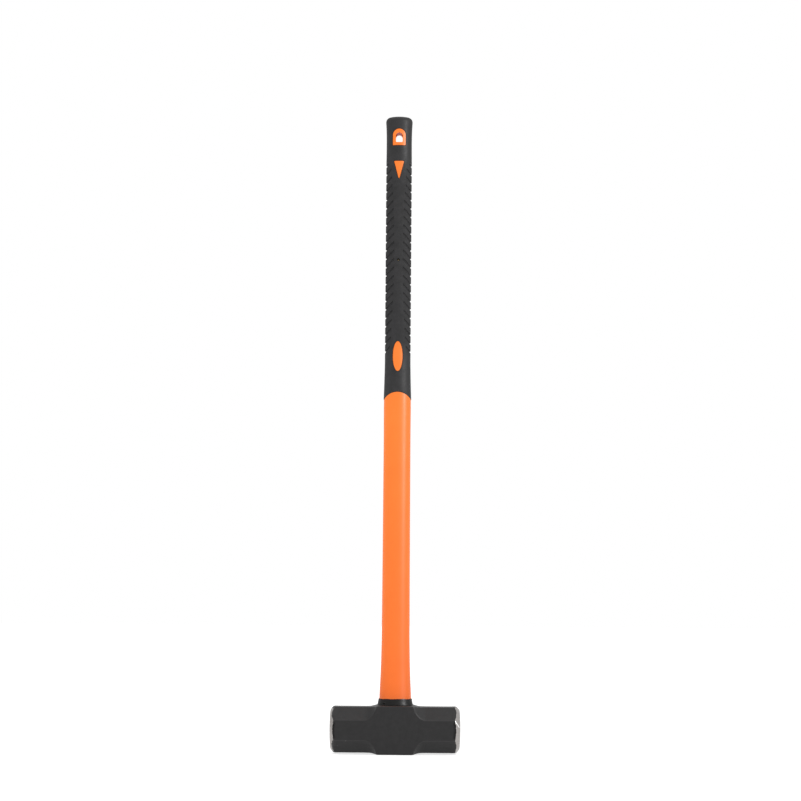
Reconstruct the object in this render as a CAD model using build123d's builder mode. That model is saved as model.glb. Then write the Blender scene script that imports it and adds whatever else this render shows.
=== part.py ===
from build123d import *

import os
from math import atan2, cos, radians, sin, tan

# Sledgehammer with an over-moulded fibreglass handle.
# Millimetres. +Z runs up the handle, X is the striking direction, and the hammer stands on its crown:
# the origin is the middle of the crown, at the lowest point of the head.

# ---------------------------------------------------------------- driving dimensions
overall_height = 900.0

# head: an octagonal bar with a square cheek block in the middle
head_length = 184.0
head_width = 64.0
crown_rise = 2.0
head_height = head_width + 2 * crown_rise
head_axis_z = head_height / 2
octagon_leg = 17.7
cheek_edge_radius = 2.5
facet_run_out_start = 44.0
facet_run_out_radius = 19.5
crown_half_length = 21.5
crown_blend_end = 36.0
face_crown_radius = 290.0
face_radius = 27.5
bevel_angle = 42.6
face_edge_radius = 4.0

# eye: an oval hole through the head, narrowest in the middle
eye_mouth = (39.0, 31.0)
eye_throat = (34.0, 26.0)

# core: pultruded oval rod
core_section = (27.0, 19.0)
core_recess = 1.5
core_top = 853.0
resin_recess = 1.0
dam_height = 5.0

# handle: oval all the way up, its depth along Y in a fixed ratio to its width along X
oval_ratio = 0.787

# jacket: half widths at heights up the handle, above a straight collar seat
jacket_seat_half_width = 22.25
jacket_seat_top = 79.5
jacket_flare = [(21.3, 96.0), (20.25, 121.5), (19.5, 161.0), (19.2, 225.5), (18.95, 335.0), (18.75, 445.0)]
jacket_top_half_width = 19.1
jacket_under_grip = (30.6, 23.0)
jacket_top = 893.0

# collar: a short skirt round the jacket, standing on the head
collar_bottom = (50.0, 40.0)
collar_top = (45.8, 36.2)
collar_height = 9.0
collar_edge_radius = 0.3

# grip: half widths at heights up its flared foot and its flared butt, with a straight stretch between
side_arc_ratio = 0.608
grip_half_width = 18.1
grip_foot = [(485.0, 19.9), (507.0, 19.15), (529.0, 18.5), (551.0, 18.1)]
grip_butt = [(831.5, 18.1), (851.5, 17.9), (871.5, 17.85), (891.5, 18.8)]
butt_radius = 6.0
butt_dome_radius = 150.0
grip_arch_side_z = 497.5
grip_arch_centre_z = 508.0
grip_arch_half_width = 19.0

# tread: grooves that run down from a smooth band, front and back, and meet round each side
groove_pitch = 12.01
groove_count = 23
groove_lowest_z = 564.6
groove_width = 2.3
groove_depth = 1.3
groove_slope = 40.5
groove_bend_radius = 12.0
groove_straight = 16.0
groove_overlap = 1.0
groove_start = 6.0
band_bottom = (12.7, 555.0)
band_waist = (6.4, 701.0)
band_top = (16.1, 883.0)

# windows in the grip, front and back
surround_half_width = 8.9
surround_bottom_z = 857.9
surround_top_z = 881.8
hang_hole_width = 9.6
hang_hole_bottom_z = 862.1
hang_hole_top_z = 876.5
hang_hole_corner = 1.5
arrow_top_z = 835.7
arrow_tip_z = 809.5
arrow_half_width = 7.2
arrow_corner = 1.0
oval_z = 558.2
oval_width = 13.5
oval_height = 41.9
pin_hole_z = 694.8
pin_hole_radius = 2.0

through = 60.0

os.makedirs("parts", exist_ok=True)


def oval(section):
    """An ellipse from a width along X and a depth along Y."""
    Ellipse(section[0] / 2, section[1] / 2)


def grip_section(half_width, inset=0):
    """An oval of four tangent arcs, moved inwards by inset: tight at the sides, flatter front and back."""
    half_depth = half_width * oval_ratio
    side_radius = half_width * side_arc_ratio
    side_centre = half_width - side_radius
    front_centre = (side_centre**2 - (half_depth - side_radius) ** 2) / (2 * (half_depth - side_radius))
    lean = atan2(front_centre, side_centre)
    joint_x = side_centre + (side_radius - inset) * cos(lean)
    joint_y = (side_radius - inset) * sin(lean)
    with BuildSketch() as section:
        with BuildLine():
            ThreePointArc((joint_x, -joint_y), (half_width - inset, 0), (joint_x, joint_y))
            ThreePointArc((joint_x, joint_y), (0, half_depth - inset), (-joint_x, joint_y))
            ThreePointArc((-joint_x, joint_y), (inset - half_width, 0), (-joint_x, -joint_y))
            ThreePointArc((-joint_x, -joint_y), (0, inset - half_depth), (joint_x, -joint_y))
        make_face()
    return section.sketch


# ---------------------------------------------------------------- shared cutting shapes
# the eye: an hourglass that narrows from both faces of the head to its middle
with BuildPart() as eye_void:
    for height, section in ((0, eye_mouth), (head_axis_z, eye_throat), (head_height, eye_mouth)):
        with BuildSketch(Plane.XY.offset(height)):
            oval(section)
    loft()

# everything above the arched foot of the grip
with BuildPart() as above_arch:
    with BuildSketch(Plane.XZ):
        with BuildLine():
            foot = ThreePointArc(
                (-grip_arch_half_width, grip_arch_side_z),
                (0, grip_arch_centre_z),
                (grip_arch_half_width, grip_arch_side_z),
            )
            Polyline(
                foot @ 1,
                (through, grip_arch_side_z),
                (through, overall_height + through),
                (-through, overall_height + through),
                (-through, grip_arch_side_z),
                foot @ 0,
            )
        make_face()
    extrude(amount=through, both=True)

# the butt: a short plug with a slightly domed end and a well-rounded rim
with BuildPart() as butt:
    with BuildSketch(Plane.XY.offset(grip_butt[-1][0])):
        add(grip_section(grip_butt[-1][1]))
    extrude(amount=overall_height - grip_butt[-1][0])
    with Locations((0, 0, overall_height - butt_dome_radius)):
        Sphere(butt_dome_radius, mode=Mode.INTERSECT)
    fillet(edges().filter_by_position(Axis.Z, overall_height - 2, overall_height), radius=butt_radius)

# outer shape of the grip, before its windows and grooves
with BuildPart() as grip_outside:
    for height, half_width in grip_foot:
        with BuildSketch(Plane.XY.offset(height)):
            add(grip_section(half_width))
    loft()
    with BuildSketch(Plane.XY.offset(grip_foot[-1][0])):
        add(grip_section(grip_half_width))
    extrude(amount=grip_butt[0][0] - grip_foot[-1][0])
    for height, half_width in grip_butt:
        with BuildSketch(Plane.XY.offset(height)):
            add(grip_section(half_width))
    loft()
    add(butt.part)

# outer shape of the jacket below the grip
with BuildPart() as jacket_outside:
    with BuildSketch(Plane.XZ):
        with BuildLine():
            seat = Line((jacket_seat_half_width, head_height), (jacket_seat_half_width, jacket_seat_top))
            top_corner = (jacket_top_half_width, grip_arch_centre_z + 10)
            side = Spline(seat @ 1, *jacket_flare, top_corner, tangents=((-0.02, 1), (0.006, 1)))
            Polyline(side @ 1, (0, grip_arch_centre_z + 10), (0, head_height), seat @ 0)
        make_face()
    revolve(axis=Axis.Z)
    scale(by=(1, oval_ratio, 1))

# ---------------------------------------------------------------- head
head_axis = Axis((0, 0, head_axis_z), (1, 0, 0))
head_side = Plane(origin=(0, 0, head_axis_z), x_dir=(1, 0, 0), z_dir=(0, -1, 0))
half_length = head_length / 2
half_width = head_width / 2
half_height = head_height / 2

with BuildPart() as head:
    # square bar, rounded along its four long edges
    with BuildSketch(Plane.YZ.offset(-half_length)):
        with Locations((0, head_axis_z)):
            RectangleRounded(head_width, head_height, cheek_edge_radius)
    extrude(amount=head_length)

    # seen from the side, the crown block stands a little proud and blends into the bar
    with BuildSketch(head_side):
        with BuildLine():
            end_edge = Line((half_length, 0), (half_length, half_width))
            bar_top = Line(end_edge @ 1, (crown_blend_end, half_width))
            blend = Spline(bar_top @ 1, (crown_half_length, half_height), tangents=((-1, 0), (-1, 0)))
            Line(blend @ 1, (0, half_height))
            mirror(about=Plane.YZ)
            mirror(about=Plane.XZ)
        make_face()
    extrude(amount=half_width, both=True, mode=Mode.INTERSECT)

    # the ends: a slightly domed striking face inside a conical bevel
    with BuildSketch(head_side):
        with BuildLine():
            dome_sag = face_crown_radius - (face_crown_radius**2 - face_radius**2) ** 0.5
            dome = RadiusArc((half_length - dome_sag, face_radius), (half_length, 0), face_crown_radius)
            bevel_run = (through - face_radius) * tan(radians(bevel_angle))
            bevel = Line((half_length - dome_sag - bevel_run, through), dome @ 0)
            Line((0, through), bevel @ 0)
            mirror(about=Plane.YZ)
            Line((-half_length, 0), (half_length, 0))
        make_face()
        face_corners = vertices().filter_by_position(Axis.Y, face_radius - 1, face_radius + 1)
        fillet(face_corners, radius=face_edge_radius)
    revolve(axis=head_axis, mode=Mode.INTERSECT)

    # the four long chamfers, which run out against the cheek block along concave arcs
    facet_distance = (head_width - octagon_leg) / 2**0.5
    for side_y in (-1, 1):
        for side_z in (-1, 1):
            facet_side = Plane(origin=(0, 0, head_axis_z), x_dir=(1, 0, 0), z_dir=(0, -side_z, side_y))
            with BuildSketch(facet_side):
                with BuildLine():
                    run_out = CenterArc(
                        (facet_run_out_start, facet_distance + facet_run_out_radius),
                        facet_run_out_radius,
                        270,
                        -80,
                    )
                    Polyline(
                        run_out @ 0,
                        (through + half_length, facet_distance),
                        (through + half_length, facet_distance + through),
                        ((run_out @ 1).X, facet_distance + through),
                        run_out @ 1,
                    )
                make_face()
                mirror(about=Plane.YZ)
            extrude(amount=head_width, both=True, mode=Mode.SUBTRACT)

    add(eye_void.part, mode=Mode.SUBTRACT)

# ---------------------------------------------------------------- core, resin and dam in the eye
with BuildPart() as fibreglass_core:
    with BuildSketch(Plane.XY.offset(core_recess)):
        oval(core_section)
    extrude(amount=core_top - core_recess)

dam_bottom_z = head_height - dam_height

with BuildPart() as eye_resin:
    add(eye_void.part)
    split(bisect_by=Plane.XY.offset(resin_recess), keep=Keep.TOP)
    split(bisect_by=Plane.XY.offset(dam_bottom_z), keep=Keep.BOTTOM)
    add(fibreglass_core.part, mode=Mode.SUBTRACT)

with BuildPart() as resin_dam:
    add(eye_void.part)
    split(bisect_by=Plane.XY.offset(dam_bottom_z), keep=Keep.TOP)
    add(fibreglass_core.part, mode=Mode.SUBTRACT)

# ---------------------------------------------------------------- window outlines
with BuildSketch(Plane.XZ) as surround_outline:
    straight_top_z = surround_top_z - surround_half_width
    with Locations((0, (surround_bottom_z + straight_top_z) / 2)):
        Rectangle(2 * surround_half_width, straight_top_z - surround_bottom_z)
    with Locations((0, straight_top_z)):
        Circle(surround_half_width)

with BuildSketch(Plane.XZ) as arrow_outline:
    with BuildLine():
        Polyline(
            (-arrow_half_width, arrow_top_z),
            (0, arrow_tip_z),
            (arrow_half_width, arrow_top_z),
            close=True,
        )
    make_face()
    fillet(vertices(), radius=arrow_corner)

with BuildSketch(Plane.XZ) as oval_outline:
    with Locations((0, oval_z)):
        oval((oval_width, oval_height))

with BuildSketch(Plane.XZ) as hang_hole_outline:
    hole_radius = hang_hole_width / 2
    hole_straight_top_z = hang_hole_top_z - hole_radius
    with Locations((0, (hang_hole_bottom_z + hole_straight_top_z) / 2)):
        Rectangle(hang_hole_width, hole_straight_top_z - hang_hole_bottom_z)
    fillet(vertices().group_by(Axis.Y)[0], radius=hang_hole_corner)
    with Locations((0, hole_straight_top_z)):
        Circle(hole_radius)

# ---------------------------------------------------------------- jacket
with BuildPart() as handle_jacket:
    add(jacket_outside.part)
    add(above_arch.part, mode=Mode.SUBTRACT)

    # the thinner stem under the grip
    with BuildSketch(Plane.XY.offset(grip_arch_side_z - 10)):
        oval(jacket_under_grip)
    extrude(amount=jacket_top - grip_arch_side_z + 10)

    # raised pads that fill the grip's windows, flush with its surface
    for outline in (surround_outline, arrow_outline, oval_outline):
        with BuildPart(mode=Mode.PRIVATE) as pad:
            extrude(outline.sketch, amount=through, both=True)
            add(grip_outside.part, mode=Mode.INTERSECT)
        add(pad.part)

    extrude(hang_hole_outline.sketch, amount=through, both=True, mode=Mode.SUBTRACT)
    add(fibreglass_core.part, mode=Mode.SUBTRACT)
    with Locations(Location((0, 0, pin_hole_z), (90, 0, 0))):
        Hole(pin_hole_radius)


# ---------------------------------------------------------------- grip
# the floor of the grooves: the straight middle of the grip, thinner by the depth of the tread
floor_bottom_z = groove_lowest_z - groove_pitch
with BuildPart() as tread_floor:
    with BuildSketch(Plane.XY.offset(floor_bottom_z)):
        add(grip_section(grip_half_width, inset=groove_depth))
    extrude(amount=overall_height - floor_bottom_z)

# the smooth band down the front and back, narrowest near its middle
with BuildPart() as smooth_band:
    with BuildSketch(Plane.XZ):
        with BuildLine():
            band_edge = ThreePointArc(band_bottom, band_waist, band_top)
            Polyline(band_edge @ 1, (through, band_top[1]), (through, overall_height), (0, overall_height))
            Line(band_edge @ 0, (0, band_bottom[1]))
            mirror(about=Plane.YZ)
        make_face()
    extrude(amount=through, both=True)

# one quarter of a groove, seen square to the corner of the grip: level at the side, then rising to the band
with BuildSketch() as groove_profile:
    with BuildLine():
        bend_centre = (0, groove_bend_radius)
        lower_bend = CenterArc(bend_centre, groove_bend_radius + groove_width / 2, 270, groove_slope)
        upper_bend = CenterArc(bend_centre, groove_bend_radius - groove_width / 2, 270, groove_slope)
        lower_run = PolarLine(lower_bend @ 1, groove_straight, groove_slope)
        upper_run = PolarLine(upper_bend @ 1, groove_straight, groove_slope)
        Line(lower_run @ 1, upper_run @ 1)
        Polyline(
            lower_bend @ 0,
            (-groove_overlap, -groove_width / 2),
            (-groove_overlap, groove_width / 2),
            upper_bend @ 0,
        )
    make_face()

side_of_grip = grip_half_width / 2**0.5
quarter_view = Plane(origin=(0, 0, 0), x_dir=(-1, -1, 0), z_dir=(-1, 1, 0))
with BuildPart() as grooves:
    with BuildSketch(quarter_view.offset(-groove_start)):
        with Locations(*[(-side_of_grip, groove_lowest_z + n * groove_pitch) for n in range(groove_count)]):
            add(groove_profile.sketch)
    extrude(amount=-through / 2)
    add(tread_floor.part, mode=Mode.SUBTRACT)
    add(smooth_band.part, mode=Mode.SUBTRACT)
    mirror(about=Plane.YZ)
    mirror(about=Plane.XZ)

with BuildPart() as rubber_grip:
    add(grip_outside.part)
    add(above_arch.part, mode=Mode.INTERSECT)
    add(handle_jacket.part, mode=Mode.SUBTRACT)
    add(fibreglass_core.part, mode=Mode.SUBTRACT)
    with Locations(Location((0, 0, pin_hole_z), (90, 0, 0))):
        Hole(pin_hole_radius)
    extrude(hang_hole_outline.sketch, amount=through, both=True, mode=Mode.SUBTRACT)
    add(grooves.part, mode=Mode.SUBTRACT)

# ---------------------------------------------------------------- collar
with BuildPart() as neck_collar:
    for height, section in ((head_height, collar_bottom), (head_height + collar_height, collar_top)):
        with BuildSketch(Plane.XY.offset(height)):
            oval(section)
    loft()
    fillet(edges().group_by(Axis.Z)[-1], radius=collar_edge_radius)
    add(jacket_outside.part, mode=Mode.SUBTRACT)

# ---------------------------------------------------------------- finished pieces
pieces = {
    "head": head,
    "fibreglass_core": fibreglass_core,
    "handle_jacket": handle_jacket,
    "rubber_grip": rubber_grip,
    "neck_collar": neck_collar,
    "eye_resin": eye_resin,
    "resin_dam": resin_dam,
}
for name, piece in pieces.items():
    piece.part.label = name
    export_step(piece.part, f"parts/{name}.step")
    print(name, round(piece.part.volume), piece.part.is_valid, len(piece.part.solids()))
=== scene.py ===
import math

import bpy
import numpy as np
from mathutils import Matrix, Vector, noise


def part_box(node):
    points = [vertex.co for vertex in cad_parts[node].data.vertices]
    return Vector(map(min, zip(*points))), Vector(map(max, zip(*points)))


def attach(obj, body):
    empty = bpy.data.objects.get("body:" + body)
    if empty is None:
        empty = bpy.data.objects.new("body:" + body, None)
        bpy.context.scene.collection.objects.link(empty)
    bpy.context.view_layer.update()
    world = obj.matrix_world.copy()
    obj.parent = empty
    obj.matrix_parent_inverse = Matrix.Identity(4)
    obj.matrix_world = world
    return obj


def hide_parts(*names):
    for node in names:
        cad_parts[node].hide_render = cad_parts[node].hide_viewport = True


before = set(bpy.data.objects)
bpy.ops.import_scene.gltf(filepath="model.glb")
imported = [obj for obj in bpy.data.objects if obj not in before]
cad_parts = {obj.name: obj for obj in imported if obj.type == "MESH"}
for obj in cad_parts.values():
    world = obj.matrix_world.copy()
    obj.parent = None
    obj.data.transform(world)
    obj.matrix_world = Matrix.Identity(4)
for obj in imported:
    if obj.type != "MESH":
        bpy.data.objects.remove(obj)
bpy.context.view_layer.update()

# Shapes below are worked out in millimetres and turned into metres when a mesh is made.
MM = 0.001


def node_box(name):
    """Lowest and highest corners of a CAD node, in millimetres."""
    low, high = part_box(name)
    return np.array(low) / MM, np.array(high) / MM


jacket_low, jacket_high = node_box("handle_jacket")
top_z = node_box("rubber_grip")[1][2]

# ---------------------------------------------------------------- camera
CAMERA_DISTANCE = 3.7
CAMERA_HEIGHT = 0.26
VIEW_SPAN = 1.1328
AIM_HEIGHT = 0.4963
AIM_SIDE = 0.0044
CAMERA_ROLL = 0.42
SENSOR = 36.0

camera_data = bpy.data.cameras.new("camera")
camera = bpy.data.objects.new("camera", camera_data)
bpy.context.scene.collection.objects.link(camera)
bpy.context.scene.camera = camera
camera.location = (AIM_SIDE, -CAMERA_DISTANCE, CAMERA_HEIGHT)
aim = Vector((AIM_SIDE, 0, AIM_HEIGHT)) - camera.location
roll = Matrix.Rotation(math.radians(CAMERA_ROLL), 4, "Z")
camera.rotation_euler = (aim.to_track_quat("-Z", "Y").to_matrix().to_4x4() @ roll).to_euler()
camera_data.sensor_width = SENSOR
camera_data.lens = SENSOR * aim.length / VIEW_SPAN
camera_data.clip_start = 0.05
camera_data.clip_end = 100


# ---------------------------------------------------------------- mesh helpers
def smoothstep(low, high, value):
    t = np.clip((value - low) / (high - low), 0, 1)
    return t * t * (3 - 2 * t)


def make_object(name, points, faces):
    """A mesh object from points in millimetres."""
    mesh = bpy.data.meshes.new(name)
    mesh.from_pydata((np.asarray(points) * MM).tolist(), [], faces)
    mesh.validate()
    obj = bpy.data.objects.new(name, mesh)
    bpy.context.scene.collection.objects.link(obj)
    return obj


def closed_rows(rows, first_pole, last_pole):
    """Points and faces of a closed skin: rings of equal length between two end points."""
    rings = np.asarray(rows)
    count, columns = rings.shape[:2]
    points = np.vstack([[first_pole], rings.reshape(-1, 3), [last_pole]])
    last = len(points) - 1
    faces = []
    for c in range(columns):
        d = (c + 1) % columns
        faces.append((0, 1 + d, 1 + c))
        faces.append((last, 1 + (count - 1) * columns + c, 1 + (count - 1) * columns + d))
    for r in range(count - 1):
        below, above = 1 + r * columns, 1 + (r + 1) * columns
        for c in range(columns):
            d = (c + 1) % columns
            faces.append((below + c, below + d, above + d, above + c))
    return points, faces


def ring_torus(rows):
    """Points and faces of a closed skin whose last ring meets its first."""
    rings = np.asarray(rows)
    count, columns = rings.shape[:2]
    faces = []
    for r in range(count):
        below, above = r * columns, ((r + 1) % count) * columns
        for c in range(columns):
            d = (c + 1) % columns
            faces.append((below + c, below + d, above + d, above + c))
    return rings.reshape(-1, 3), faces


def prism(name, outline, low_y, high_y):
    """An outline in X and Z, run along Y."""
    n = len(outline)
    points = [(x, low_y, z) for x, z in outline] + [(x, high_y, z) for x, z in outline]
    faces = [tuple(range(n)), tuple(range(2 * n - 1, n - 1, -1))]
    faces += [(i, n + i, n + (i + 1) % n, (i + 1) % n) for i in range(n)]
    return make_object(name, points, faces)


def combine(obj, tool, operation):
    """Applies a boolean to obj and removes the tool."""
    cut = obj.modifiers.new("cut", "BOOLEAN")
    cut.operation = operation
    cut.solver = "EXACT"
    cut.object = tool
    evaluated = obj.evaluated_get(bpy.context.evaluated_depsgraph_get())
    shaped = bpy.data.meshes.new_from_object(evaluated)
    obj.modifiers.clear()
    obj.data = shaped
    bpy.data.objects.remove(tool)


def finish_shading(obj, sharp_degrees):
    """Smooth shading, with edges sharp past an angle."""
    obj.data.shade_smooth()
    obj.data.set_sharp_from_angle(angle=math.radians(sharp_degrees))


def noise_at(points, size, seed):
    """Smooth noise in -1 to 1 at points in millimetres, with features of about size."""
    shift = Vector((seed * 7.3, seed * 3.1, seed * 5.7))
    return np.array([noise.noise(Vector(p) / size + shift) for p in points])


# ---------------------------------------------------------------- grip section
OVAL_RATIO = 0.787
SIDE_ARC_RATIO = 0.608
GRIP_HALF = 18.1


def oval_columns(per_quarter):
    """The grip's oval as four tangent arcs, for a half width of 1, at evenly spaced columns:
    arc centres, arc radii and outward normals."""
    side_centre = 1 - SIDE_ARC_RATIO
    drop = OVAL_RATIO - SIDE_ARC_RATIO
    front_centre = (side_centre**2 - drop**2) / (2 * drop)
    front_radius = OVAL_RATIO + front_centre
    lean = math.atan2(front_centre, side_centre)
    side_length = SIDE_ARC_RATIO * lean
    quarter = side_length + front_radius * (math.pi / 2 - lean)
    along = np.arange(per_quarter) / per_quarter * quarter
    on_front = lean + (along - side_length) / front_radius
    turn = np.where(along < side_length, along / SIDE_ARC_RATIO, on_front)
    mirrored = math.pi - np.append(turn[1:], math.pi / 2)[::-1]
    half_turn = np.concatenate([turn, mirrored])
    turn = np.concatenate([half_turn, half_turn + math.pi])
    normal = np.stack([np.cos(turn), np.sin(turn)], 1)
    on_side = np.abs(normal[:, 1]) < math.sin(lean)
    centre = np.where(
        on_side[:, None],
        np.stack([side_centre * np.sign(normal[:, 0]), np.zeros(len(turn))], 1),
        np.stack([np.zeros(len(turn)), -front_centre * np.sign(normal[:, 1])], 1),
    )
    radius = np.where(on_side, SIDE_ARC_RATIO, front_radius)
    return centre, radius, normal


COLUMNS_PER_QUARTER = 50
oval_centre, oval_radius, oval_normal = oval_columns(COLUMNS_PER_QUARTER)


def oval_ring(half_width, height, inset=0.0):
    """One ring of the oval. half_width, height and inset are numbers or one value per column."""
    half = np.broadcast_to(half_width, oval_radius.shape)
    reach = half * oval_radius - inset
    x = half * oval_centre[:, 0] + reach * oval_normal[:, 0]
    y = half * oval_centre[:, 1] + reach * oval_normal[:, 1]
    z = np.broadcast_to(height, oval_radius.shape)
    return np.stack([x, y, z], 1)


# ---------------------------------------------------------------- windows in the grip
OVAL_CENTRE_Z = 558.2
OVAL_HALF_WIDTH = 6.75
OVAL_HALF_HEIGHT = 20.95
PIN_CENTRE_Z = 694.8


def arc_points(centre, radius, start, end, count):
    turn = np.radians(np.linspace(start, end, count))
    return [(centre[0] + radius * math.cos(a), centre[1] + radius * math.sin(a)) for a in turn]


def surround_outline(grow):
    """The upright, round-topped window round the hang hole."""
    half, bottom, top, corner = 8.9 + grow, 858.5 - grow, 881.8 + grow, 0.6
    return (
        arc_points((half - corner, bottom + corner), corner, -90, 0, 5)
        + arc_points((0, top - half), half, 0, 180, 40)
        + arc_points((corner - half, bottom + corner), corner, 180, 270, 5)
    )


def hang_hole_outline():
    """The D-shaped hole through the handle."""
    half, bottom, top, corner = 4.8, 862.7, 876.5, 1.5
    return (
        arc_points((half - corner, bottom + corner), corner, -90, 0, 8)
        + arc_points((0, top - half), half, 0, 180, 34)
        + arc_points((corner - half, bottom + corner), corner, 180, 270, 8)
    )


def arrow_outline(grow):
    """A long triangle, point down, with rounded corners."""
    half, top, tip, corner = 7.0, 835.7, 809.0, 0.8
    lean = math.degrees(math.atan2(half, top - tip))
    tip_centre = (0, tip + corner / math.sin(math.radians(lean)))
    inward = corner / math.tan(math.radians((90 - lean) / 2))
    return (
        arc_points(tip_centre, corner + grow, 180 + lean, 360 - lean, 14)
        + arc_points((half - inward, top - corner), corner + grow, -lean, 90, 10)
        + arc_points((inward - half, top - corner), corner + grow, 90, 180 + lean, 10)
    )


def oval_window_outline(grow):
    half_width, half_height = OVAL_HALF_WIDTH + grow, OVAL_HALF_HEIGHT + grow
    turn = np.linspace(0, 2 * math.pi, 56, endpoint=False)
    return [(half_width * math.cos(a), OVAL_CENTRE_Z + half_height * math.sin(a)) for a in turn]


def pin_hole_outline(radius, drop=0.0):
    return arc_points((0, PIN_CENTRE_Z - drop), radius, 0, 360, 25)[:-1]


PAD_OUTLINES = (surround_outline, arrow_outline, oval_window_outline)


# ---------------------------------------------------------------- rubber grip
ARCH_SIDE_Z = 497.5
ARCH_CENTRE_Z = 508.0
ARCH_HALF_WIDTH = 19.0
FOOT_TOP = 551.0
FOOT_LENGTH = 66.0
FOOT_FLARE = 1.8
FOOT_FLARE_POWER = 1.35
BUTT_START = 831.5
BUTT_EDGE = 891.5
BUTT_TAPER = 0.6
BUTT_FLARE = 1.3
BUTT_RADIUS = 6.0
BUTT_DOME_RADIUS = 150.0
RUBBER_INNER = 15.3
LIP_RADIUS = 0.45
GROOVE_PITCH = 12.01
GROOVE_COUNT = 23
GROOVE_LOWEST = 564.6
GROOVE_HALF_WIDTH = 1.15
GROOVE_DEPTH = 1.3
GROOVE_BEND = 12.0
GROOVE_SLOPE = math.tan(math.radians(40.5))
GROOVE_END_FADE = (-0.3, 0.35)
# Rows across a groove: place in half widths from its middle, and share of its full depth.
GROOVE_PROFILE = (
    (-1.5, 0.0), (-1.15, 0.15), (-0.8, 0.94), (0.0, 1.0), (0.8, 0.94), (1.15, 0.15), (1.5, 0.0),
)
BAND_WAIST_Z = 701.0
BAND_WAIST = 6.4
BAND_WIDENING = 3.0e-4
BAND_LIFT = 0.28
BAND_SHOULDER = (-1.3, -0.1)
BAND_RISE_HEIGHTS = (578.0, 604.0)
BAND_FALL_HEIGHTS = (815.0, 842.0)
WINDOW_SEAM = 0.65
PIN_RADIUS = 2.0
# Black rubber lines the pin hole and closes most of its bottom: a dark thing put in as painted
# shade, so that the hole reads dark. A small hole in that rubber shows the core.
PIN_SHADE_LINING = 0.8
PIN_SHADE_LINING_DEPTH = 9.55
PIN_SHADE_LINING_END = 12.5
PIN_SHADE_FLOOR_DEPTH = 10.4
PIN_SHADE_FLOOR_HOLE = 1.3
PIN_SHADE_FLOOR_DROP = 0.6
SHORT_GROOVE_BAND = 15.3
CUTTER_REACH = 30.0

arch_rise = ARCH_CENTRE_Z - ARCH_SIDE_Z
arch_radius = (ARCH_HALF_WIDTH**2 + arch_rise**2) / (2 * arch_rise)


def arch_height(x):
    """Height of the grip's arched lower edge at a distance x from the middle."""
    return ARCH_CENTRE_Z - arch_radius + np.sqrt(np.maximum(arch_radius**2 - x**2, 0))


def grip_half_width(z):
    """Half the grip's width along X, with the flares of its foot and butt."""
    foot = np.clip((FOOT_TOP - z) / FOOT_LENGTH, 0, 1.2)
    butt = np.clip((z - BUTT_START) / (BUTT_EDGE - BUTT_START), 0, 1)
    half = GRIP_HALF + FOOT_FLARE * foot**FOOT_FLARE_POWER
    return half - BUTT_TAPER * butt + BUTT_FLARE * butt**4


# For each column of the grip: its distance round from the side, how far a groove has risen by
# there, and how much the groove's slope stretches its width in height.
nominal = oval_ring(GRIP_HALF, 0.0)
round_side = (GRIP_HALF - np.abs(nominal[:, 0]) + np.abs(nominal[:, 1])) / math.sqrt(2)
bend_limit = GROOVE_BEND * math.sin(math.atan(GROOVE_SLOPE))
in_bend = np.minimum(round_side, bend_limit)
groove_rise = GROOVE_BEND - np.sqrt(GROOVE_BEND**2 - in_bend**2)
groove_rise = groove_rise + GROOVE_SLOPE * np.maximum(round_side - bend_limit, 0)
groove_stretch = np.sqrt(1 + (in_bend**2 / (GROOVE_BEND**2 - in_bend**2)))


def band_edge(z):
    """Half the width of the plain band between the grooves."""
    return BAND_WAIST + BAND_WIDENING * (z - BAND_WAIST_Z) ** 2


def band_lift(z):
    """How far the plain band stands out from the tread. It fades out at both ends."""
    fade = smoothstep(*BAND_RISE_HEIGHTS, z) * (1 - smoothstep(*BAND_FALL_HEIGHTS, z))
    past_edge = np.abs(nominal[:, 0]) - band_edge(z)
    return BAND_LIFT * fade * (1 - smoothstep(*BAND_SHOULDER, past_edge))


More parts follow.
